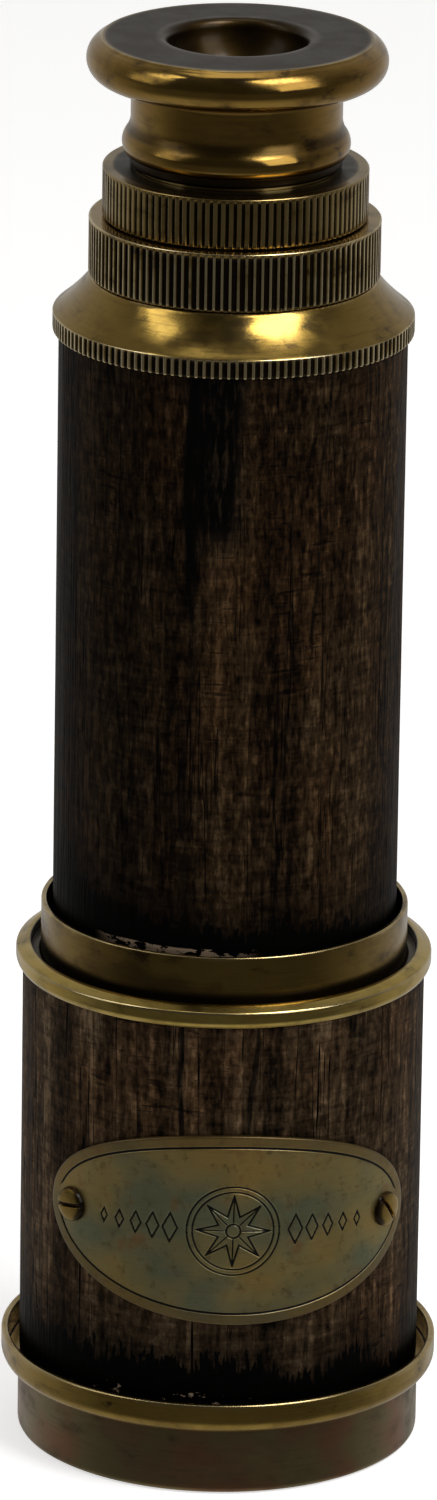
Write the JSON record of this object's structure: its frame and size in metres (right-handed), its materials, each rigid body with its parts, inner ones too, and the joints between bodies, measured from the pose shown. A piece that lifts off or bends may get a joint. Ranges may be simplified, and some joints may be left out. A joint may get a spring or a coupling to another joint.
{
  "type": "kaleidoscope",
  "caption": "Pocket kaleidoscope in a brass and wood spyglass body: draw tubes pull out to the eyepiece, a drum with the object cell turns, and an end cap covers it.",
  "frame": {"origin": "centre of the end cap's underside, where the closed object stands", "axes": "+Z along the tube towards the eyepiece, -Y towards the oval plate"},
  "size_m": [0.0462, 0.0462, 0.1524],
  "materials": {
    "aged_brass": "satin, dark patina, polished where handled",
    "plate_brass": "engraved, grey-green patina",
    "cap_brass": "dull brown patina",
    "bright_brass": "drawn tube, bright",
    "dark_wood": "waxed, dark brown, fine straight grain",
    "brown_wood": "waxed, brown, fine straight grain",
    "felt": "felt",
    "clear_glass": "polished",
    "frosted_glass": "ground on one face",
    "mirror": "polished",
    "ruby_glass": "clear red",
    "cobalt_glass": "clear blue",
    "amber_glass": "clear amber",
    "emerald_glass": "clear green"
  },
  "bodies": {
    "barrel": {"barrel_wood_sleeve": "dark_wood", "barrel_tube": "bright_brass", "barrel_foot_plate": "bright_brass", "barrel_felt_band": "felt", "shoulder_cap": "aged_brass", "barrel_guide_bush": "bright_brass", "mirror_tube": "bright_brass", "mirror_strip_1": "mirror", "mirror_strip_2": "mirror", "mirror_strip_3": "mirror", "mirror_packing": "felt", "mirror_window": "bright_brass"},
    "outer_draw": {"outer_draw_tube": "bright_brass", "outer_draw_stop": "bright_brass", "outer_draw_bush": "bright_brass", "outer_draw_collar": "aged_brass"},
    "middle_draw": {"middle_draw_tube": "bright_brass", "middle_draw_stop": "bright_brass", "middle_draw_bush": "bright_brass", "middle_draw_collar": "aged_brass"},
    "inner_draw": {"inner_draw_tube": "bright_brass", "inner_draw_stop": "bright_brass", "eyepiece_cup": "aged_brass", "eye_lens": "clear_glass", "lens_retaining_ring": "bright_brass"},
    "drum": {"drum_tube": "aged_brass", "drum_wood_sleeve": "brown_wood", "drum_flange_ring": "aged_brass", "drum_stop_ring": "bright_brass", "cell_housing": "aged_brass", "diffuser_glass": "frosted_glass", "chamber_spacer_ring": "bright_brass", "inner_glass": "clear_glass", "cell_retaining_ring": "bright_brass", "ruby_glass_chips": "ruby_glass", "cobalt_glass_chips": "cobalt_glass", "amber_glass_chips": "amber_glass", "emerald_glass_chips": "emerald_glass", "oval_plate": "plate_brass", "plate_screws": "aged_brass"},
    "end_cap": {"cap_cup": "cap_brass", "cap_rim_ring": "aged_brass", "cap_felt_pad": "felt"}
  },
  "joints": [
    {"name": "outer_draw_slide", "type": "slide", "parent": "barrel", "child": "outer_draw", "axis": [0, 0, 1], "range_m": [0, 0.085]},
    {"name": "middle_draw_slide", "type": "slide", "parent": "outer_draw", "child": "middle_draw", "axis": [0, 0, 1], "range_m": [0, 0.085]},
    {"name": "inner_draw_slide", "type": "slide", "parent": "middle_draw", "child": "inner_draw", "axis": [0, 0, 1], "range_m": [0, 0.085]},
    {"name": "drum_turn", "type": "hinge", "parent": "barrel", "child": "drum", "pos_m": [0, 0, 0.03], "axis": [0, 0, 1], "continuous": true},
    {"name": "end_cap_slide", "type": "slide", "parent": "drum", "child": "end_cap", "axis": [0, 0, -1], "range_m": [0, 0.04]}
  ]
}
